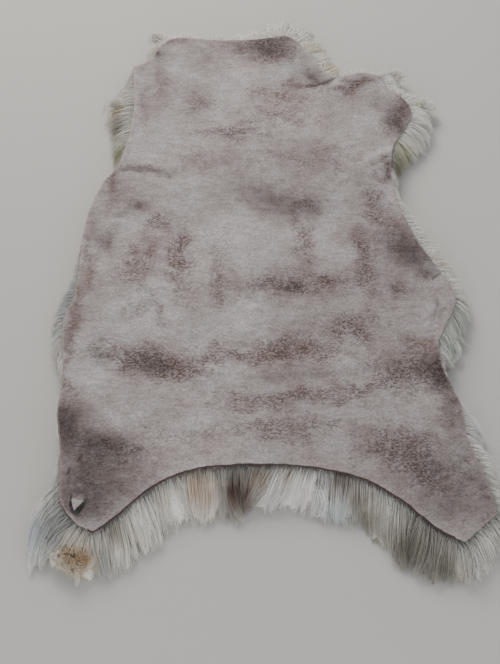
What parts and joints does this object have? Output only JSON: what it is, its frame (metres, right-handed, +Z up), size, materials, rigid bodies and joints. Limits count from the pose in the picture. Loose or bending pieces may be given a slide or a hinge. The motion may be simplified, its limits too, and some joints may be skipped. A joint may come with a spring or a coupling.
{
  "type": "sheepskin",
  "caption": "Whole sheepskin spread open on its fleece, leather side up, with long wool locks round the rim.",
  "frame": {"origin": "middle of the whole skin's outline, on the floor that the fleece lies on", "axes": "+Y from the rump to the neck, +X to the right seen from above, +Z up out of the leather"},
  "size_m": [0.7035, 1.1407, 0.053],
  "materials": {
    "leather": "tanned flesh side, matt, lightly wrinkled",
    "wool": "cream long-stapled wool, silky"
  },
  "bodies": {
    "root": {"hide": "leather", "fleece": "wool"}
  },
  "joints": []
}
